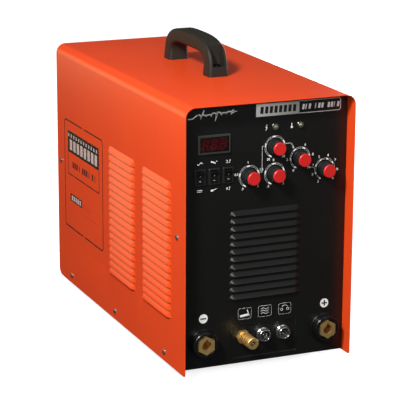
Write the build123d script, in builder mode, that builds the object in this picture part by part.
from build123d import *
import os
from math import cos, pi, radians, sin

# A small inverter welding machine for tungsten and stick welding, with mains and gas at the back.
# The front faces -Y, the right side faces +X, and the rubber feet stand on z = 0. All sizes are mm.

# ---- driving dimensions ----
WIDTH = 236.0  # outside of the cover
DEPTH = 488.0
HEIGHT = 350.0
FOOT_H = 10.0  # the cover's lower edge is this far above the ground
SHEET = 1.2  # cover sheet
PLATE = 1.5  # tray and panel sheet
FIT = 0.3  # gap between the cover and the parts it slides over
TOP_R = 13.5  # rolled long edges of the cover
FRONT_RECESS = 20.0  # from the cover's front edge to the front panel's face
REAR_RECESS = 8.0
REACH = 14.0  # the gas fittings stand this far past the cover, front and rear alike

FLANGE = 15.0  # folded flanges of both panels
TRAY_WALL = 26.0  # height of the tray's side walls
PANEL_LIFT = 1.5  # the panels stand on the tray's floor
PANEL_H = HEIGHT - SHEET - FIT - PANEL_LIFT
PANEL_W = WIDTH - 2 * (SHEET + FIT)

LOUVRE_PITCH = 10.05
LOUVRE_RISE = 3.4  # how far a louvre stands out of the sheet
LOUVRE_RUN = 9.0  # height of one louvre
SIDE_LOUVRES = 18
SIDE_LOUVRE_W = 102.0
SIDE_LOUVRE_COLUMNS = (96.0, 222.0)  # behind the cover's front edge
SIDE_LOUVRE_LOW = 65.5  # lip of the lowest one, above the cover's lower edge
FRONT_LOUVRES = 12
FRONT_LOUVRE_W = 98.0
FRONT_LOUVRE_X = 2.0
FRONT_LOUVRE_LOW = 88.0

SCREW_R = 2.0  # shank of the cover screws
SCREW_HEAD_R = 3.6
SCREW_HEAD_H = 2.0
FRONT_SCREW = (25.8, 179.0)  # behind the front edge, above the lower edge
REAR_SCREW = (471.5, 179.0)
LOW_SCREWS = ((68.6, 12.5), (249.7, 12.5), (430.0, 12.5))

HANDLE_X = 1.0
HANDLE_W = 27.0
HANDLE_FRONT = 167.0  # front leg, behind the cover's front edge
HANDLE_LENGTH = 163.0
HANDLE_RISE = 49.0
LEG_DEPTH = 22.5
HAND_GAP_H = 30.0
HANDLE_BOLT_R = 2.5

DISPLAY_X, DISPLAY_Z = -70.6, 296.6
DISPLAY_W, DISPLAY_H = 43.8, 24.6
SWITCH_XS = (-89.8, -70.5, -51.2)
SWITCH_Z = 255.2
KNOB_PLACES = ((-21.5, 250.5), (14.0, 250.5), (14.0, 286.0), (49.6, 268.2), (85.2, 250.5))
LAMP_PLACES = ((14.2, 312.0), (49.2, 312.0))
WELD_XS = (-84.5, 88.5)
WELD_Z = 36.0
GAS_X, GAS_Z = -28.7, 38.0
CONTROL_XS = (0.2, 28.3)  # three-pin and two-pin sockets
CONTROL_Z = 37.2

KNOB_R = 8.6
KNOB_SKIRT_R = 10.6
KNOB_H = 16.0
SPINDLE_R = 3.0
RUNNING = 0.05  # radial clearance of what turns or slides in a bore

BUSH_R = 3.5  # threaded bush of a potentiometer
BUSH_END = 5.4
SPINDLE_END = 12.0
SWITCH_CUT_W, SWITCH_CUT_H = 13.2, 19.2  # panel cut-out of a rocker switch
ROCKER_PIVOT = -1.5  # axis of the rocker, behind the panel's face
ROCKER_STUD_R = 1.2
ROCKER_TILT = 9.0

LAMP_HOLE_R = 4.0
WELD_BORE_R = 6.5
WELD_BARREL_R = 15.0
GAS_BORE_R = 3.4
GAS_CORE_R = 5.2
GAS_THREAD_R = 6.0
SLEEVE_TRAVEL = 3.5
CONTROL_R = 8.0

FAN_X, FAN_Z = 0.0, 92.0
FAN_SIZE = 120.0
FAN_DEPTH = 25.0
FAN_BORE_R = 57.0
FAN_HOLE = 52.5  # half the spacing of the four fan screws
MAINS_SCALE = 1.45  # the mains rocker is this much bigger than the front ones
GLAND_THREAD_R = 9.0
EARTH_R = 4.0
FOOT_SCREW_R = 2.1
MAINS_X, MAINS_Z = 62.0, 262.0
GLAND_X, GLAND_Z = 86.0, 178.0
GLAND_BORE_R = 5.5
INLET_X, INLET_Z = -86.0, 178.0
INLET_R = 8.0
EARTH_X, EARTH_Z = -86.0, 60.0

FRONT = -DEPTH / 2
REAR = DEPTH / 2
PANEL_Y = FRONT + FRONT_RECESS
REAR_Y = REAR - REAR_RECESS
OUTLET_REACH = FRONT_RECESS + REACH  # how far the gas outlet stands out of the front panel
INLET_REACH = REAR_RECESS + REACH

os.makedirs("parts", exist_ok=True)


def keep(piece, name):
    """Label a finished piece and write it to its own file."""
    piece.part.label = name
    export_step(piece.part, "parts/" + name + ".step")


def on_front(x, z, out=0.0):
    """Plane on the front panel, at x and a height above the cover's lower edge, facing out."""
    return Plane(origin=(x, PANEL_Y - out, FOOT_H + z), x_dir=(1, 0, 0), z_dir=(0, -1, 0))


def on_rear(x, z, out=0.0):
    """The same on the rear panel, facing backwards."""
    return Plane(origin=(x, REAR_Y + out, FOOT_H + z), x_dir=(-1, 0, 0), z_dir=(0, 1, 0))


def on_side(back, z, side):
    """Plane on the outside of the cover: side is -1 for the left one and 1 for the right one."""
    place = (side * WIDTH / 2, FRONT + back, FOOT_H + z)
    return Plane(origin=place, x_dir=(0, side, 0), z_dir=(side, 0, 0))


def raised(planes, height):
    """The same planes, moved along their own normals."""
    return [plane.offset(height) for plane in planes]


UP = (Align.CENTER, Align.CENTER, Align.MIN)
DOWN = (Align.CENTER, Align.CENTER, Align.MAX)

side_screw_planes = [
    on_side(back, z, side) for side in (-1, 1) for back, z in (FRONT_SCREW, REAR_SCREW, *LOW_SCREWS)
]
leg_ys = (
    FRONT + HANDLE_FRONT + LEG_DEPTH / 2 - 3.5,
    FRONT + HANDLE_FRONT + HANDLE_LENGTH - LEG_DEPTH / 2 + 3.5,
)
handle_bolt_planes = [Plane((HANDLE_X, y, FOOT_H + HEIGHT)) for y in leg_ys]
foot_places = [(x, y) for x in (-84, 84) for y in (FRONT + 82, REAR - 60)]
fan_corners = [(dx, dz) for dx in (-FAN_HOLE, FAN_HOLE) for dz in (-FAN_HOLE, FAN_HOLE)]
fan_screw_planes = [on_rear(FAN_X + dx, FAN_Z + dz) for dx, dz in fan_corners]


# ---- sheet metal ----
# A louvre is a ramp pressed out of the sheet. It ends in a lip, and air passes up behind it.
LOUVRE_RAMP = ((0, LOUVRE_RUN), (LOUVRE_RISE, 0), (-SHEET / 2, 0), (-SHEET / 2, LOUVRE_RUN))
LOUVRE_AIR = ((-SHEET, LOUVRE_RUN), (LOUVRE_RISE - SHEET, 0), (-2 * SHEET, 0), (-2 * SHEET, LOUVRE_RUN))
side_rows = [(0, FOOT_H + SIDE_LOUVRE_LOW + LOUVRE_PITCH * i) for i in range(SIDE_LOUVRES)]
front_rows = [(0, FOOT_H + FRONT_LOUVRE_LOW + LOUVRE_PITCH * i) for i in range(FRONT_LOUVRES)]

# The cover is one sheet folded over the top, open below and at both ends.
inner_w = WIDTH - 2 * SHEET
with BuildPart() as cover:
    with BuildSketch(Plane.XZ.offset(-FRONT)):
        with Locations((0, FOOT_H + HEIGHT / 2)):
            Rectangle(WIDTH, HEIGHT)
        fillet(vertices().group_by(Axis.Y)[-1], radius=TOP_R)
    extrude(amount=-DEPTH)
    low_rear = edges().filter_by(Axis.X).filter_by(lambda e: e.center().Y > 0 and e.center().Z < FOOT_H + 1)
    fillet(low_rear, radius=12)
    low_front = edges().filter_by(Axis.X).filter_by(lambda e: e.center().Y < 0 and e.center().Z < FOOT_H + 1)
    fillet(low_front, radius=4.5)
    with BuildSketch(Plane.XZ.offset(-FRONT)):
        with Locations((0, FOOT_H + (HEIGHT - SHEET) / 2)):
            Rectangle(inner_w, HEIGHT - SHEET)
        fillet(vertices().group_by(Axis.Y)[-1], radius=TOP_R - SHEET)
        with Locations((0, FOOT_H)):
            Rectangle(inner_w, 20)
    extrude(amount=-DEPTH, mode=Mode.SUBTRACT)
    for side in (-1, 1):
        for back in SIDE_LOUVRE_COLUMNS:
            foot = (side * WIDTH / 2, FRONT + back, 0)
            across = Plane(origin=foot, x_dir=(side, 0, 0), z_dir=(0, -side, 0))
            with BuildSketch(across):
                with Locations(*side_rows):
                    Polygon(*LOUVRE_RAMP, align=None)
            extrude(amount=SIDE_LOUVRE_W / 2, both=True)
            with BuildSketch(across):
                with Locations(*side_rows):
                    Polygon(*LOUVRE_AIR, align=None)
            extrude(amount=SIDE_LOUVRE_W / 2 - SHEET, both=True, mode=Mode.SUBTRACT)
    with Locations(*side_screw_planes):
        Cylinder(SCREW_R + 0.1, 6, mode=Mode.SUBTRACT)
    with Locations(*handle_bolt_planes):
        Cylinder(HANDLE_BOLT_R, 6, mode=Mode.SUBTRACT)
keep(cover, "cover")

TRAY_FRONT = PANEL_Y + 8
TRAY_REAR = REAR_Y - 1
WALL_FRONT = PANEL_Y + FLANGE + 0.5
WALL_REAR = REAR_Y - FLANGE - 0.5
with BuildPart() as base_tray:
    with BuildSketch(Plane.XY.offset(FOOT_H)):
        with Locations((0, (TRAY_FRONT + TRAY_REAR) / 2)):
            Rectangle(PANEL_W, TRAY_REAR - TRAY_FRONT)
        with Locations(*foot_places):
            Circle(FOOT_SCREW_R + 0.1, mode=Mode.SUBTRACT)
    extrude(amount=PLATE)
    with BuildSketch(Plane.XY.offset(FOOT_H)):
        with Locations(*[(side * (PANEL_W - PLATE) / 2, (WALL_FRONT + WALL_REAR) / 2) for side in (-1, 1)]):
            Rectangle(PLATE, WALL_REAR - WALL_FRONT)
    extrude(amount=TRAY_WALL)
    with Locations(*side_screw_planes):
        Cylinder(SCREW_R + 0.1, 12, mode=Mode.SUBTRACT)
keep(base_tray, "base_tray")

panel_middle = FOOT_H + PANEL_LIFT + PANEL_H / 2
# Each panel is a shallow pan: a plate with its four edges folded into the case.
with BuildPart() as front_panel:
    with BuildSketch(Plane.XZ.offset(-PANEL_Y)):
        with Locations((0, panel_middle)):
            Rectangle(PANEL_W, PANEL_H)
        fillet(vertices().group_by(Axis.Y)[-1], radius=TOP_R - SHEET - FIT)
    extrude(amount=-FLANGE)
    with BuildSketch(Plane.XZ.offset(-PANEL_Y - PLATE)):
        with Locations((0, panel_middle)):
            Rectangle(PANEL_W - 2 * PLATE, PANEL_H - 2 * PLATE)
        fillet(vertices().group_by(Axis.Y)[-1], radius=TOP_R - SHEET - FIT - PLATE)
    extrude(amount=-FLANGE, mode=Mode.SUBTRACT)
    across = Plane(origin=(FRONT_LOUVRE_X, PANEL_Y, 0), x_dir=(0, -1, 0), z_dir=(-1, 0, 0))
    with BuildSketch(across):
        with Locations(*front_rows):
            Polygon(*LOUVRE_RAMP, align=None)
    extrude(amount=FRONT_LOUVRE_W / 2, both=True)
    with BuildSketch(across):
        with Locations(*front_rows):
            Polygon(*LOUVRE_AIR, align=None)
    extrude(amount=FRONT_LOUVRE_W / 2 - SHEET, both=True, mode=Mode.SUBTRACT)
    with BuildSketch(on_front(0, 0)):
        with Locations((DISPLAY_X, DISPLAY_Z)):
            Rectangle(DISPLAY_W - 2.4, DISPLAY_H - 2.4)
        with Locations(*[(x, SWITCH_Z) for x in SWITCH_XS]):
            Rectangle(SWITCH_CUT_W, SWITCH_CUT_H)
        with Locations(*KNOB_PLACES):
            Circle(BUSH_R + RUNNING)
        with Locations(*LAMP_PLACES):
            Circle(LAMP_HOLE_R)
        with Locations(*[(x, WELD_Z) for x in WELD_XS]):
            Circle(WELD_BARREL_R + RUNNING)
        with Locations((GAS_X, GAS_Z)):
            Circle(GAS_THREAD_R + RUNNING)
        with Locations(*[(x, CONTROL_Z) for x in CONTROL_XS]):
            Circle(CONTROL_R + RUNNING)
    extrude(amount=-2 * PLATE, mode=Mode.SUBTRACT)
    with Locations(*side_screw_planes):
        Cylinder(SCREW_R + 0.1, 12, mode=Mode.SUBTRACT)
keep(front_panel, "front_panel")

with BuildPart() as rear_panel:
    with BuildSketch(Plane.XZ.offset(-REAR_Y)):
        with Locations((0, panel_middle)):
            Rectangle(PANEL_W, PANEL_H)
        fillet(vertices().group_by(Axis.Y)[-1], radius=TOP_R - SHEET - FIT)
    extrude(amount=FLANGE)
    with BuildSketch(Plane.XZ.offset(-REAR_Y + PLATE)):
        with Locations((0, panel_middle)):
            Rectangle(PANEL_W - 2 * PLATE, PANEL_H - 2 * PLATE)
        fillet(vertices().group_by(Axis.Y)[-1], radius=TOP_R - SHEET - FIT - PLATE)
    extrude(amount=FLANGE, mode=Mode.SUBTRACT)
    with BuildSketch(on_rear(0, 0)):
        with Locations((-FAN_X, FAN_Z)):
            Circle(FAN_BORE_R)
        with Locations(*[(-FAN_X + dx, FAN_Z + dz) for dx, dz in fan_corners]):
            Circle(SCREW_R + 0.2)
        with Locations((-MAINS_X, MAINS_Z)):
            Rectangle(MAINS_SCALE * SWITCH_CUT_W, MAINS_SCALE * SWITCH_CUT_H)
        with Locations((-GLAND_X, GLAND_Z)):
            Circle(GLAND_THREAD_R + RUNNING)
        with Locations((-INLET_X, INLET_Z)):
            Circle(GAS_THREAD_R + RUNNING)
        with Locations((-EARTH_X, EARTH_Z)):
            Circle(EARTH_R + RUNNING)
        with Locations(*[(x, 312) for x in range(-70, 71, 14)]):
            SlotOverall(34, 5, rotation=90)
    extrude(amount=-2 * PLATE, mode=Mode.SUBTRACT)
    with Locations(*side_screw_planes):
        Cylinder(SCREW_R + 0.1, 12, mode=Mode.SUBTRACT)
keep(rear_panel, "rear_panel")


# ---- handle, screws and feet ----
leg_0 = FRONT + HANDLE_FRONT
leg_1 = leg_0 + HANDLE_LENGTH
middle = (leg_0 + leg_1) / 2
roof = FOOT_H + HEIGHT
SHOULDER = HANDLE_RISE - 5.0
LEAN = 3.0  # the legs lean in by this much from foot to shoulder
POCKET_FLOOR = 13.0
POCKET_H = 20.0
POCKET_W = 17.0
POCKET_DEPTH = 18.0
POCKET_CORNER = 2.5
POCKET_OUT = 4.0  # each pocket is centred this far outside its bolt, so that it opens outwards
# A moulded bow with two hollow-fronted legs, a bolt going down through the floor of each pocket.
with BuildPart() as handle:
    with BuildSketch(Plane.YZ.offset(HANDLE_X)):
        with BuildLine():
            Line((leg_0, roof), (leg_0 + LEAN, roof + SHOULDER))
            ThreePointArc(
                (leg_0 + LEAN, roof + SHOULDER),
                (middle, roof + HANDLE_RISE),
                (leg_1 - LEAN, roof + SHOULDER),
            )
            Line((leg_1 - LEAN, roof + SHOULDER), (leg_1, roof))
            Line((leg_1, roof), (leg_0, roof))
        make_face()
        fillet(vertices().filter_by(lambda v: v.Y > 1), radius=19)
    extrude(amount=HANDLE_W / 2, both=True)
    with BuildSketch(Plane.YZ.offset(HANDLE_X)):
        with BuildLine():
            Line((leg_0 + LEG_DEPTH, roof), (leg_0 + LEG_DEPTH + 1.5, roof + HAND_GAP_H - 2.5))
            ThreePointArc(
                (leg_0 + LEG_DEPTH + 1.5, roof + HAND_GAP_H - 2.5), (middle, roof + HAND_GAP_H + 1),
                (leg_1 - LEG_DEPTH - 1.5, roof + HAND_GAP_H - 2.5))
            Line((leg_1 - LEG_DEPTH - 1.5, roof + HAND_GAP_H - 2.5), (leg_1 - LEG_DEPTH, roof))
            Line((leg_1 - LEG_DEPTH, roof), (leg_0 + LEG_DEPTH, roof))
        make_face()
        fillet(vertices().group_by(Axis.Y)[-1], radius=9)
    extrude(amount=HANDLE_W, both=True, mode=Mode.SUBTRACT)
    flanks = faces().filter_by(Axis.X)
    fillet(flanks.edges().filter_by(lambda e: e.center().Z > roof + 0.5), radius=2)
    for y in leg_ys:
        outward = -1 if y < middle else 1
        with BuildSketch(Plane.XY.offset(roof + POCKET_FLOOR)):
            with Locations((HANDLE_X, y + outward * POCKET_OUT)):
                RectangleRounded(POCKET_W, POCKET_DEPTH, POCKET_CORNER)
        extrude(amount=POCKET_H, mode=Mode.SUBTRACT)
    with Locations(*raised(handle_bolt_planes, POCKET_FLOOR + 1)):
        Cylinder(HANDLE_BOLT_R, POCKET_FLOOR + 2, align=DOWN, mode=Mode.SUBTRACT)
keep(handle, "handle")


def pan_screws(planes, head_r, head_h, shank_r, shank):
    """Pan-head screws seated on the given planes, each with a cross recess in its head."""
    with BuildPart() as screws:
        with Locations(*planes):
            Cylinder(head_r, head_h * 0.45, align=UP)
            Cylinder(shank_r, shank, align=DOWN)
        with Locations(*raised(planes, head_h * 0.45)):
            Cone(head_r, head_r * 0.62, head_h * 0.55, align=UP)
        with Locations(*raised(planes, head_h)):
            Box(head_r * 1.1, head_r * 0.24, head_h * 1.1, mode=Mode.SUBTRACT)
            Box(head_r * 0.24, head_r * 1.1, head_h * 1.1, mode=Mode.SUBTRACT)
    return screws


keep(pan_screws(side_screw_planes, SCREW_HEAD_R, SCREW_HEAD_H, SCREW_R, 9.0), "cover_screws")

with BuildPart() as handle_screws:
    with Locations(*raised(handle_bolt_planes, POCKET_FLOOR)):
        Cylinder(4.4, 2.6, align=UP)
        Cylinder(HANDLE_BOLT_R - 0.1, POCKET_FLOOR + SHEET + 6, align=DOWN)
    with BuildSketch(*raised(handle_bolt_planes, POCKET_FLOOR + 2.6)):
        RegularPolygon(2.3, 6)
    extrude(amount=-1.8, mode=Mode.SUBTRACT)
    with BuildSketch(*raised(handle_bolt_planes, -SHEET - 4)):
        RegularPolygon(4.6, 6)
        Circle(HANDLE_BOLT_R, mode=Mode.SUBTRACT)
    extrude(amount=4)
keep(handle_screws, "handle_screws")

FOOT_SEAT = 4.0
with BuildPart() as rubber_feet:
    with Locations(*[(x, y, 0) for x, y in foot_places]):
        Cone(10, 12, FOOT_H, align=UP)
        Cylinder(5.4, FOOT_SEAT, align=UP, mode=Mode.SUBTRACT)
        Cylinder(FOOT_SCREW_R + 0.1, FOOT_H, align=UP, mode=Mode.SUBTRACT)
keep(rubber_feet, "rubber_feet")

with BuildPart() as feet_screws:
    with Locations(*[(x, y, FOOT_SEAT) for x, y in foot_places]):
        Cylinder(4.2, 2.4, align=DOWN)
        Cylinder(FOOT_SCREW_R, FOOT_H - FOOT_SEAT + PLATE + 5, align=UP)
    with BuildSketch(Plane.XY.offset(FOOT_H + PLATE)):
        with Locations(*foot_places):
            RegularPolygon(4.2, 6)
        with Locations(*foot_places):
            Circle(FOOT_SCREW_R + 0.1, mode=Mode.SUBTRACT)
    extrude(amount=3.2)
keep(feet_screws, "feet_screws")


# ---- display ----
FILTER_W, FILTER_H = 39.4, 19.4
with BuildPart() as display_bezel:
    with BuildSketch(on_front(DISPLAY_X, DISPLAY_Z)):
        RectangleRounded(DISPLAY_W, DISPLAY_H, 1.2)
    extrude(amount=2.4)
    chamfer(faces().filter_by(Axis.Y).sort_by(Axis.Y)[0].outer_wire().edges(), length=0.6)
    with BuildSketch(on_front(DISPLAY_X, DISPLAY_Z)):
        Rectangle(DISPLAY_W - 2.6, DISPLAY_H - 2.6)
    extrude(amount=-8)
    with BuildSketch(on_front(DISPLAY_X, DISPLAY_Z, 2.4)):
        Rectangle(FILTER_W, FILTER_H)
    extrude(amount=-1.8, mode=Mode.SUBTRACT)
    with BuildSketch(on_front(DISPLAY_X, DISPLAY_Z, 2.4)):
        Rectangle(FILTER_W - 2, FILTER_H - 2)
    extrude(amount=-12, mode=Mode.SUBTRACT)
keep(display_bezel, "display_bezel")

with BuildPart() as display_filter:
    with BuildSketch(on_front(DISPLAY_X, DISPLAY_Z, 0.6)):
        Rectangle(FILTER_W - 0.2, FILTER_H - 0.2)
    extrude(amount=1.2)
keep(display_filter, "display_filter")

BOARD_OUT = -10.5  # front face of the control board, behind the panel's face
with BuildPart() as display_module:
    with BuildSketch(on_front(DISPLAY_X, DISPLAY_Z, BOARD_OUT)):
        Rectangle(FILTER_W - 2.4, FILTER_H - 2.4)
    extrude(amount=-BOARD_OUT + 0.4)
    with BuildSketch(on_front(DISPLAY_X, DISPLAY_Z, 0.4)):
        with Locations((-12, 0), (0, 0), (12, 0)):
            Rectangle(8, 14)
            Rectangle(5, 4.6, mode=Mode.SUBTRACT)
    extrude(amount=-0.3, mode=Mode.SUBTRACT)
keep(display_module, "display_module")


# ---- rocker switches ----
def rocker_frame(plane, scale):
    """Snap-in housing of a rocker switch: bezel, body, terminals, and bores for the rocker's studs."""
    k = scale
    with BuildPart() as frame:
        with BuildSketch(plane):
            RectangleRounded(15 * k, 21 * k, 1.2 * k)
        extrude(amount=2 * k)
        front = frame.faces().sort_by(lambda f: -plane.to_local_coords(f.center()).Z)[0]
        chamfer(front.edges(), length=0.5 * k)
        with BuildSketch(plane):
            Rectangle(13 * k, 19 * k)
        extrude(amount=-14 * k)
        with BuildSketch(plane.offset(2 * k)):
            Rectangle(10.6 * k, 17.4 * k)
        extrude(amount=-12 * k, mode=Mode.SUBTRACT)
        pivot = plane.from_local_coords((0, 0, ROCKER_PIVOT * k))
        studs = Plane(origin=pivot, x_dir=plane.z_dir, z_dir=plane.x_dir)
        with Locations(studs):
            Cylinder(ROCKER_STUD_R * k + RUNNING, 12.6 * k, mode=Mode.SUBTRACT)
        with BuildSketch(plane.offset(-14 * k)):
            with Locations((0, -6 * k), (0, 0), (0, 6 * k)):
                Rectangle(4.8 * k, 0.8 * k)
        extrude(amount=-7 * k)
    return frame


def rocker(plane, scale):
    """The rocker, tipped to one side, on two studs. Every point keeps inside its swept circle."""
    k = scale
    profile = ((-7, 4.6), (0, 2.6), (7, 4.6), (8, 1), (6.5, -3.5), (-6.5, -3.5), (-8, 1))
    pivot = plane.from_local_coords((0, 0, ROCKER_PIVOT * k))
    axis = Plane(origin=pivot, x_dir=plane.y_dir, z_dir=plane.x_dir)
    with BuildPart() as lever:
        with BuildSketch(axis):
            Polygon(*[(u * k, v * k) for u, v in profile], rotation=ROCKER_TILT, align=None)
        extrude(amount=5 * k, both=True)
        with Locations(axis):
            Cylinder(ROCKER_STUD_R * k, 12.4 * k)
    return lever


for number, x in enumerate(SWITCH_XS, 1):
    keep(rocker_frame(on_front(x, SWITCH_Z), 1.0), f"switch_frame_{number}")
    keep(rocker(on_front(x, SWITCH_Z), 1.0), f"switch_rocker_{number}")
keep(rocker_frame(on_rear(MAINS_X, MAINS_Z), MAINS_SCALE), "mains_switch_frame")
keep(rocker(on_rear(MAINS_X, MAINS_Z), MAINS_SCALE), "mains_switch_rocker")


# ---- adjusting knobs ----
KNOB_GAP = 0.6  # between the panel and the knob's skirt
SKIRT_H = 3.0
GRIP_END = 13.6
HUB_FLOOR = 6.2
FLUTES = 20


def knob(plane):
    """Push-on knob: a flat skirt, a fluted grip, a bore for the spindle and room for the nut."""
    with BuildPart() as grip:
        with BuildSketch(plane.offset(KNOB_GAP)):
            Circle(KNOB_SKIRT_R)
        extrude(amount=SKIRT_H, taper=8)
        with BuildSketch(plane.offset(KNOB_GAP + SKIRT_H)):
            Circle(KNOB_R + 0.5)
            with PolarLocations(KNOB_R + 0.8, FLUTES):
                Circle(0.75, mode=Mode.SUBTRACT)
        extrude(amount=GRIP_END - KNOB_GAP - SKIRT_H)
        with Locations(plane.offset(KNOB_GAP)):
            Cylinder(6.4, HUB_FLOOR - KNOB_GAP, align=UP, mode=Mode.SUBTRACT)
            Cylinder(SPINDLE_R + RUNNING, SPINDLE_END - KNOB_GAP + 0.4, align=UP, mode=Mode.SUBTRACT)
        with Locations(plane.offset(GRIP_END)):
            Cylinder(KNOB_R - 1.6, 1.0, align=DOWN, mode=Mode.SUBTRACT)
    return grip


def knob_cap(plane):
    """Coloured cap that closes the knob's end, with a plug that drops into the grip."""
    with BuildPart() as cap:
        with Locations(plane.offset(GRIP_END)):
            Cylinder(KNOB_R, KNOB_H - GRIP_END, align=UP)
        chamfer(cap.edges().sort_by(lambda e: -plane.to_local_coords(e.center()).Z)[0], length=0.7)
        with Locations(plane.offset(GRIP_END)):
            Cylinder(KNOB_R - 1.7, 0.8, align=DOWN)
    return cap


for number, (x, z) in enumerate(KNOB_PLACES, 1):
    keep(knob(on_front(x, z)), f"knob_{number}")
    keep(knob_cap(on_front(x, z)), f"knob_cap_{number}")

spindle_planes = [on_front(x, z) for x, z in KNOB_PLACES]
with BuildPart() as potentiometers:
    with Locations(*raised(spindle_planes, BOARD_OUT)):
        Cylinder(8.5, -BOARD_OUT - PLATE, align=UP)
    with Locations(*raised(spindle_planes, -PLATE)):
        Cylinder(BUSH_R, PLATE + BUSH_END, align=UP)
        Cylinder(SPINDLE_R, PLATE + SPINDLE_END, align=UP)
keep(potentiometers, "potentiometers")


# ---- indicator lamps ----
lamp_planes = [on_front(x, z) for x, z in LAMP_PLACES]
with BuildPart() as lamp_bezels:
    with Locations(*lamp_planes):
        Cone(4.9, 4.1, 1.8, align=UP)
        Cylinder(LAMP_HOLE_R - 0.1, 9, align=DOWN)
    with Locations(*raised(lamp_planes, 2)):
        Cylinder(3.05, 12, align=DOWN, mode=Mode.SUBTRACT)
keep(lamp_bezels, "lamp_bezels")


def lamp(plane):
    """A 6 mm lens with a domed end."""
    with BuildPart() as lens:
        with Locations(plane.offset(-7)):
            Cylinder(3.0, 8.6, align=UP)
        with Locations(plane.offset(1.6)):
            Sphere(3.0)
    return lens


keep(lamp(lamp_planes[0]), "power_lamp")
keep(lamp(lamp_planes[1]), "warning_lamp")


# ---- weld sockets ----
WELD_COLLAR = 12.5
WELD_FACE = 14.0
WELD_BORE_DEPTH = 25.0
WELD_HEX = 21.5


def weld_socket(plane):
    """Insulating collar of a twist-lock weld socket."""
    with BuildPart() as shell:
        with Locations(plane):
            Cylinder(19.5, 3, align=UP)
            Cylinder(17.4, WELD_COLLAR - 1.2, align=UP)
            Cylinder(WELD_BARREL_R, 20, align=DOWN)
        with Locations(plane.offset(WELD_COLLAR - 1.2)):
            Cone(17.4, 16.2, 1.2, align=UP)
        with Locations(plane):
            Cylinder(WELD_HEX / 2 / cos(pi / 6) + 0.4, 60, mode=Mode.SUBTRACT)
    return shell


def weld_insert(plane):
    """Brass hexagon with the plug's bore and key slot, and a threaded stud for the lead inside."""
    with BuildPart() as insert:
        with BuildSketch(plane.offset(-20)):
            RegularPolygon(WELD_HEX / 2, 6, rotation=30, major_radius=False)
        extrude(amount=20 + WELD_FACE)
        with Locations(plane.offset(-20)):
            Cylinder(5, 22, align=DOWN)
        with BuildSketch(plane.offset(WELD_FACE)):
            Circle(WELD_BORE_R)
            with Locations((0, WELD_BORE_R)):
                Rectangle(3.6, 4)
        extrude(amount=-WELD_BORE_DEPTH, mode=Mode.SUBTRACT)
    return insert


for name, x in zip(("minus", "plus"), WELD_XS):
    keep(weld_socket(on_front(x, WELD_Z)), f"weld_socket_{name}")
    keep(weld_insert(on_front(x, WELD_Z)), f"weld_insert_{name}")


# ---- gas outlet: a quick coupler with a sliding sleeve ----
outlet = on_front(GAS_X, GAS_Z)
LIP_H = 2.6
SLEEVE_END = OUTLET_REACH - LIP_H - 0.2
SLEEVE_START = 10.5 + SLEEVE_TRAVEL + 0.4
GAS_BORE_DEPTH = 20.0
HOSE_BARB_R = 4.0
BARB_START, BARB_END = 14.0, 24.0
with BuildPart() as gas_outlet_body:
    with BuildSketch(outlet):
        RegularPolygon(8, 6, major_radius=False)
    extrude(amount=6)
    with Locations(outlet):
        Cylinder(6.9, 10.5, align=UP)
        Cylinder(GAS_CORE_R, OUTLET_REACH, align=UP)
        Cylinder(GAS_THREAD_R, BARB_START, align=DOWN)
        Cylinder(HOSE_BARB_R, BARB_END, align=DOWN)
    with Locations(outlet.offset(OUTLET_REACH - LIP_H)):
        Cylinder(7.8, LIP_H - 0.8, align=UP)
    with Locations(outlet.offset(OUTLET_REACH - 0.8)):
        Cone(7.8, 7.0, 0.8, align=UP)
    with Locations(outlet.offset(OUTLET_REACH)):
        Cylinder(GAS_BORE_R, GAS_BORE_DEPTH, align=DOWN, mode=Mode.SUBTRACT)
        Cylinder(1.8, 80, align=DOWN, mode=Mode.SUBTRACT)
keep(gas_outlet_body, "gas_outlet_body")

with BuildPart() as gas_outlet_sleeve:
    with Locations(outlet.offset(SLEEVE_START)):
        Cylinder(7.4, SLEEVE_END - SLEEVE_START, align=UP)
    for ring in (0.0, 5.6, 11.2):
        with Locations(outlet.offset(SLEEVE_START + ring)):
            Cylinder(7.85, 3.2, align=UP)
    with Locations(outlet):
        Cylinder(GAS_CORE_R + RUNNING, OUTLET_REACH, align=UP, mode=Mode.SUBTRACT)
keep(gas_outlet_sleeve, "gas_outlet_sleeve")


# ---- control sockets ----
def control_socket(plane):
    """Metal shell of a round connector, threaded outside for the plug's ring."""
    with BuildPart() as shell:
        with Locations(plane):
            Cone(9.8, 9.2, 2.6, align=UP)
            Cylinder(CONTROL_R, 8.2, align=UP)
            Cylinder(CONTROL_R, 10, align=DOWN)
        with Locations(plane.offset(8.2)):
            Cone(CONTROL_R, CONTROL_R - 0.7, 0.8, align=UP)
        with Locations(plane):
            Cylinder(6.5, 40, mode=Mode.SUBTRACT)
    return shell


def control_insert(plane, pins):
    """Insulating insert with its contact pins standing in the shell."""
    with BuildPart() as insert:
        with Locations(plane.offset(-10)):
            Cylinder(6.45, 13, align=UP)
        with Locations(plane):
            with PolarLocations(2.9, pins, start_angle=0 if pins == 2 else -90):
                Cylinder(0.9, 7.6, align=UP)
    return insert


for pins, x in zip((3, 2), CONTROL_XS):
    keep(control_socket(on_front(x, CONTROL_Z)), f"control_socket_{pins}_pin")
    keep(control_insert(on_front(x, CONTROL_Z), pins), f"control_insert_{pins}_pin")


# ---- rear fittings ----
gland = on_rear(GLAND_X, GLAND_Z)
with BuildPart() as cable_gland:
    with BuildSketch(gland):
        RegularPolygon(12, 6, major_radius=False)
    extrude(amount=6)
    with Locations(gland):
        Cylinder(11, 14, align=UP)
        Cylinder(GLAND_THREAD_R, 12, align=DOWN)
    with Locations(gland.offset(14)):
        Cone(11, 7.5, 6, align=UP)
    with Locations(gland):
        Cylinder(GLAND_BORE_R, 60, mode=Mode.SUBTRACT)
keep(cable_gland, "cable_gland")

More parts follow.
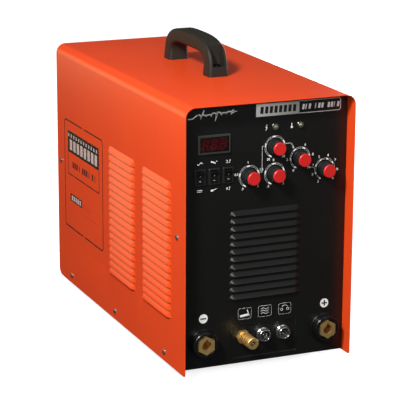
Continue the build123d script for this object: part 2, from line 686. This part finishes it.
inlet = on_rear(INLET_X, INLET_Z)
INLET_BASE = 7.0
VALVE_OUT = -14.0
with BuildPart() as gas_inlet:
    with BuildSketch(inlet):
        RegularPolygon(9.5, 6, major_radius=False)
    extrude(amount=INLET_BASE)
    with Locations(inlet):
        Cylinder(INLET_R, INLET_REACH, align=UP)
        Cylinder(GAS_THREAD_R, -VALVE_OUT, align=DOWN)
        Cylinder(3, 60, mode=Mode.SUBTRACT)
keep(gas_inlet, "gas_inlet")

VALVE_LENGTH = 34.0
HOSE_DROP = 10.0  # the valve's outlet is this far under its inlet
valve_end = VALVE_OUT - VALVE_LENGTH
with BuildPart() as gas_valve:
    with BuildSketch(inlet.offset(VALVE_OUT)):
        Rectangle(24, 34)
    extrude(amount=-VALVE_LENGTH)
    with Locations((INLET_X, REAR_Y + VALVE_OUT - VALVE_LENGTH / 2, FOOT_H + INLET_Z + 17)):
        Cylinder(11, 30, align=UP)
        Cylinder(5, 36, align=UP)
    with Locations(on_rear(INLET_X, INLET_Z - HOSE_DROP, valve_end)):
        Cylinder(HOSE_BARB_R, 12, align=DOWN)
    with Locations(on_rear(INLET_X, INLET_Z, VALVE_OUT)):
        Cylinder(3, 20, align=DOWN, mode=Mode.SUBTRACT)
keep(gas_valve, "gas_valve")

# The inner hose runs forward along the left wall, dips to the floor and meets the outlet's barb.
HOSE_R = 6.0
hose_start = (INLET_X, REAR_Y + valve_end, FOOT_H + INLET_Z - HOSE_DROP)
hose_end = (GAS_X, PANEL_Y + BARB_START, FOOT_H + GAS_Z)
hose_route = (
    hose_start,
    (INLET_X, -20, hose_start[2]),
    (INLET_X, -110, hose_end[2]),
    (GAS_X, -164, hose_end[2]),
    hose_end,
)
with BuildPart() as gas_hose:
    with BuildLine():
        FilletPolyline(*hose_route, radius=20)
    with BuildSketch(Plane(origin=hose_start, x_dir=(1, 0, 0), z_dir=(0, -1, 0))):
        Circle(HOSE_R)
        Circle(HOSE_BARB_R + RUNNING, mode=Mode.SUBTRACT)
    sweep()
keep(gas_hose, "gas_hose")

with BuildPart() as earth_bolt:
    with Locations(on_rear(EARTH_X, EARTH_Z, -16)):
        Cylinder(EARTH_R, 30, align=UP)
    for seat in (0, -PLATE - 4):
        with BuildSketch(on_rear(EARTH_X, EARTH_Z, seat)):
            RegularPolygon(6.5, 6, major_radius=False)
        extrude(amount=4)
keep(earth_bolt, "earth_bolt")


# ---- nuts behind both panels ----
def hex_nut(plane, thickness, across_flats, hole_r):
    """Plain nut whose outer face lies on the plane, reaching inwards."""
    with BuildPart() as nut:
        with BuildSketch(plane):
            RegularPolygon(across_flats / 2, 6, major_radius=False)
            Circle(hole_r, mode=Mode.SUBTRACT)
        extrude(amount=-thickness)
    return nut.part


nuts = [hex_nut(on_front(x, z, 2.2), 2.2, 10, BUSH_R + RUNNING) for x, z in KNOB_PLACES]
nuts += [hex_nut(on_front(x, WELD_Z, -PLATE), 6, 37, WELD_BARREL_R + RUNNING) for x in WELD_XS]
nuts += [hex_nut(on_front(GAS_X, GAS_Z, -PLATE), 4, 17, GAS_THREAD_R + RUNNING)]
nuts += [hex_nut(on_front(x, CONTROL_Z, -PLATE), 3, 21, CONTROL_R + RUNNING) for x in CONTROL_XS]
nuts += [hex_nut(on_rear(GLAND_X, GLAND_Z, -PLATE), 4, 23, GLAND_THREAD_R + RUNNING)]
nuts += [hex_nut(on_rear(INLET_X, INLET_Z, -PLATE), 4, 17, GAS_THREAD_R + RUNNING)]
with BuildPart() as panel_nuts:
    add(nuts)
keep(panel_nuts, "panel_nuts")


# ---- fan ----
fan_back = on_rear(FAN_X, FAN_Z, -PLATE)
FAN_HUB_R = 19.0
MOTOR_H = 5.0
AXLE_R = 2.0
with BuildPart() as fan_frame:
    with BuildSketch(fan_back):
        RectangleRounded(FAN_SIZE, FAN_SIZE, 6)
        Circle(FAN_BORE_R, mode=Mode.SUBTRACT)
        with Locations(*fan_corners):
            Circle(SCREW_R + 0.1, mode=Mode.SUBTRACT)
    extrude(amount=-FAN_DEPTH)
    with BuildSketch(fan_back):
        Circle(FAN_HUB_R)
        with PolarLocations(0, 2, start_angle=45, angular_range=180):
            Rectangle(2 * FAN_BORE_R + 2, 5)
        Circle(AXLE_R + RUNNING, mode=Mode.SUBTRACT)
    extrude(amount=-MOTOR_H)
keep(fan_frame, "fan_frame")

BLADES = 7
BLADE_TILT = 35.0
blade_planes = []
for i in range(BLADES):
    turn = radians(360 / BLADES * i)
    radial = Vector(cos(turn), 0, sin(turn))
    around = Vector(-sin(turn), 0, cos(turn))
    face = around * sin(radians(BLADE_TILT)) + Vector(0, 1, 0) * cos(radians(BLADE_TILT))
    place = fan_back.offset(-14).origin + radial * ((FAN_HUB_R + FAN_BORE_R) / 2 - 1)
    blade_planes.append(Plane(origin=place, x_dir=radial, z_dir=face))
with BuildPart() as fan_rotor:
    with Locations(fan_back.offset(-MOTOR_H - 1.5)):
        Cylinder(FAN_HUB_R, 17, align=DOWN)
    with Locations(fan_back.offset(-0.5)):
        Cylinder(AXLE_R, 12, align=DOWN)
    with Locations(*blade_planes):
        Box(FAN_BORE_R - FAN_HUB_R - 0.5, 20, 1.6)
keep(fan_rotor, "fan_rotor")

GUARD = 2.0
GUARD_WIRE = 2.4  # width of one ring of the guard
with BuildPart() as fan_guard:
    with BuildSketch(on_rear(FAN_X, FAN_Z)):
        for r in (62, 54, 44, 34, 24, 14):
            Circle(r)
            Circle(r - GUARD_WIRE, mode=Mode.SUBTRACT)
        with PolarLocations(0, 2, start_angle=45, angular_range=180):
            Rectangle(2 * FAN_HOLE * 2 ** 0.5, 4)
        with Locations(*fan_corners):
            Circle(5)
        with Locations(*fan_corners):
            Circle(SCREW_R + 0.2, mode=Mode.SUBTRACT)
    extrude(amount=GUARD)
keep(fan_guard, "fan_guard")
keep(pan_screws(raised(fan_screw_planes, GUARD), 3.8, 2.2, SCREW_R, 30), "fan_screws")


# ---- power stage ----
SINK_W = 110.0
SINK_BASE_Z, SINK_BASE = 88.0, 8.0
floor = FOOT_H + PLATE
with BuildPart() as heat_sinks:
    for y in (-40, 115):
        with BuildSketch(Plane.XY.offset(SINK_BASE_Z)):
            with Locations((0, y)):
                Rectangle(SINK_W, 145)
        extrude(amount=SINK_BASE)
        with BuildSketch(Plane.XY.offset(floor)):
            with Locations((0, y)):
                with GridLocations(13, 0, 9, 1):
                    Rectangle(3, 145)
        extrude(amount=SINK_BASE_Z - floor)
keep(heat_sinks, "heat_sinks")

MODULE_H = 6.0
board_z = SINK_BASE_Z + SINK_BASE + MODULE_H
with BuildPart() as power_board:
    with BuildSketch(Plane.XY.offset(board_z)):
        with Locations((0, 38)):
            RectangleRounded(130, 300, 3)
    extrude(amount=1.6)
    with BuildSketch(Plane.XY.offset(board_z)):
        with Locations(*[(x, y) for x in (-28, 28) for y in (-40, 115)]):
            Rectangle(34, 94)
    extrude(amount=-MODULE_H)
keep(power_board, "power_board")

deck = board_z + 1.6
with BuildPart() as capacitors:
    with Locations(*[(x, y, deck) for x in (-40, 0, 40) for y in (-90, -50)]):
        Cylinder(15, 45, align=UP)
    fillet(capacitors.edges().filter_by(GeomType.CIRCLE).group_by(Axis.Z)[-1], radius=2)
keep(capacitors, "capacitors")

with BuildPart() as transformer:
    with Locations((0, 20, deck)):
        Box(74, 56, 62, align=UP)
        Box(80, 34, 38, align=(Align.CENTER, Align.CENTER, Align.MIN), mode=Mode.SUBTRACT)
    with Locations((0, 20, deck)):
        Cylinder(25, 36, align=UP)
keep(transformer, "transformer")

with BuildPart() as output_reactor:
    with Locations((0, 120, deck + 18)):
        Torus(30, 16)
keep(output_reactor, "output_reactor")

with BuildPart() as control_board:
    with BuildSketch(on_front(0, 0, BOARD_OUT)):
        with Locations((0, 277)):
            RectangleRounded(212, 90, 3)
        with Locations(*[(x, SWITCH_Z) for x in SWITCH_XS]):
            Rectangle(SWITCH_CUT_W + 1, SWITCH_CUT_H + 1, mode=Mode.SUBTRACT)
    extrude(amount=-1.6)
keep(control_board, "control_board")
